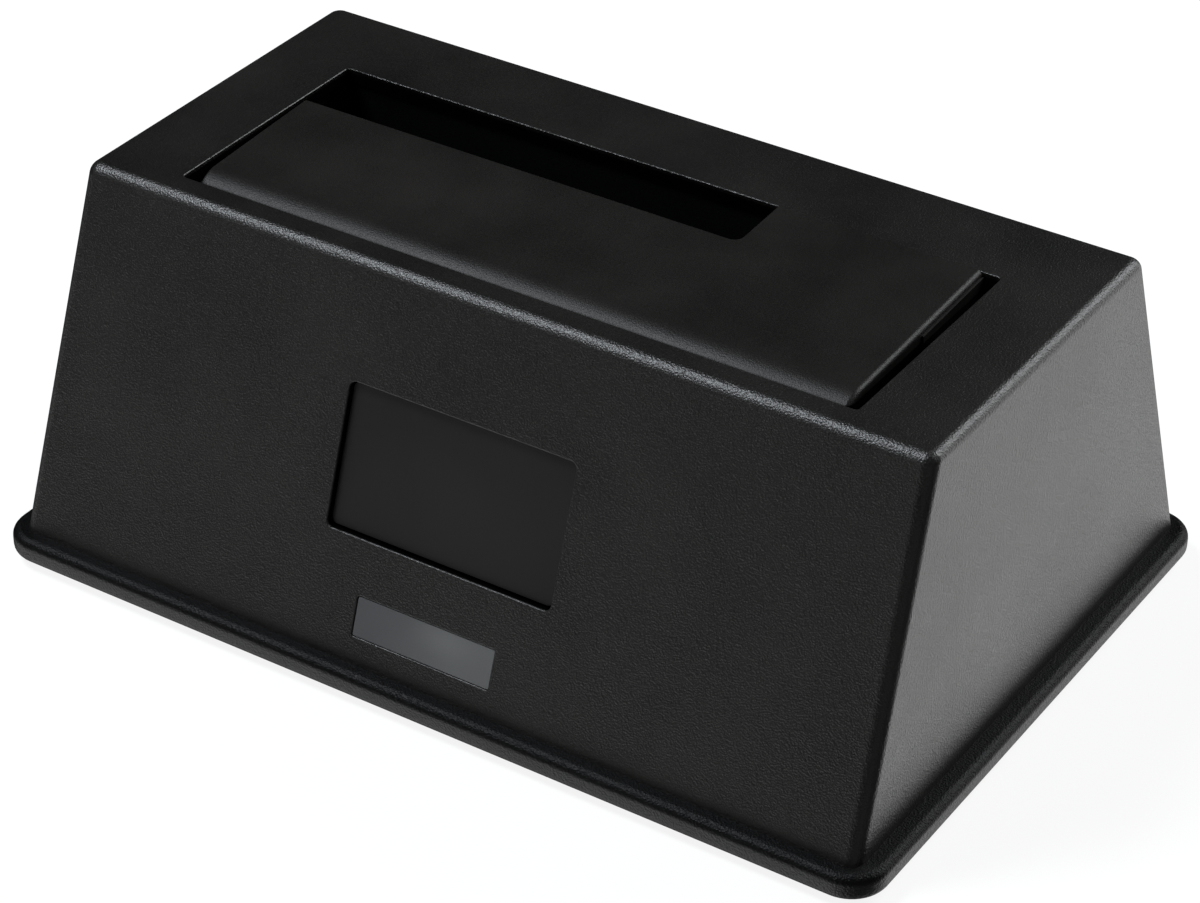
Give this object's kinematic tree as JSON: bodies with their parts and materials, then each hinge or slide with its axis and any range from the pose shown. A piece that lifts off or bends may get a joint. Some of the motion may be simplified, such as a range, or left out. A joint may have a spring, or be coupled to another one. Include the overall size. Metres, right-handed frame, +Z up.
{
  "type": "hard drive docking station",
  "caption": "Desk dock for one 3.5 inch or 2.5 inch drive: sloped housing on a beaded base, with a sprung flap over the drive bay and ports at the back.",
  "frame": {"origin": "under the middle of the base, on the surface that the feet stand on", "axes": "+X along the length, to the right seen from the front; +Y towards the port panel at the back; +Z up"},
  "size_m": [0.1396, 0.0958, 0.0561],
  "materials": {
    "housing_abs": "fine spark-eroded texture, low sheen",
    "base_abs": "fine spark-eroded texture, low sheen",
    "flap_abs": "smooth soft matt",
    "button_abs": "smooth satin",
    "inner_abs": "plain moulded",
    "plate_abs": "smooth satin, bare",
    "smoked_lens": "smoked, polished front",
    "clear_acrylic": "clear",
    "steel": "ground",
    "spring_steel": "drawn wire",
    "tinned_steel": "bright tin plate",
    "board": "green solder mask",
    "socket_black": "moulded nylon",
    "insert_blue": "moulded nylon",
    "gold": "gold flash",
    "chip_black": "moulded epoxy",
    "ferrite": "pressed ferrite",
    "can_aluminium": "drawn can",
    "ceramic": "fired ceramic",
    "foot_rubber": "matt",
    "black_screws": "black oxide",
    "zinc_screws": "zinc plate"
  },
  "bodies": {
    "dock": {"base_cover": "base_abs", "base_screws": "black_screws", "board_screws": "zinc_screws", "bridge_chip": "chip_black", "button_spring": "spring_steel", "ceramic_capacitors": "ceramic", "crystal": "tinned_steel", "dc_socket": "socket_black", "dc_socket_contact": "tinned_steel", "dc_socket_pin": "tinned_steel", "drive_well": "inner_abs", "electrolytic_capacitors": "can_aluminium", "flap_shaft": "steel", "flap_spring_left": "spring_steel", "flap_spring_right": "spring_steel", "foot_front_left": "foot_rubber", "foot_front_right": "foot_rubber", "foot_rear_left": "foot_rubber", "foot_rear_right": "foot_rubber", "housing": "housing_abs", "led_window": "smoked_lens", "light_guide": "clear_acrylic", "main_board": "board", "memory_chip": "chip_black", "nameplate": "plate_abs", "power_inductor": "ferrite", "power_switch": "socket_black", "sata_power_contacts": "gold", "sata_signal_contacts": "gold", "sata_socket": "socket_black", "status_lamps": "clear_acrylic", "usb_socket_contacts": "gold", "usb_socket_insert": "insert_blue", "usb_socket_shell": "tinned_steel", "voltage_regulators": "chip_black", "well_screws": "black_screws"},
    "flap": {"drive_flap": "flap_abs"},
    "button": {"power_button": "button_abs"}
  },
  "joints": [
    {"name": "flap_hinge", "type": "hinge", "parent": "dock", "child": "flap", "pos_m": [0, -0.0195, 0.0499], "axis": [1, 0, 0], "range_deg": [-90, 0], "stiffness_Nm_per_rad": 0.01, "springref_deg": 68.75, "deforming": ["flap_spring_left", "flap_spring_right"]},
    {"name": "button_slide", "type": "slide", "parent": "dock", "child": "button", "axis": [0, 1, 0], "range_m": [-0.0015, 0], "stiffness_N_per_m": 600, "springref_m": 0.001, "deforming": ["button_spring"]}
  ]
}
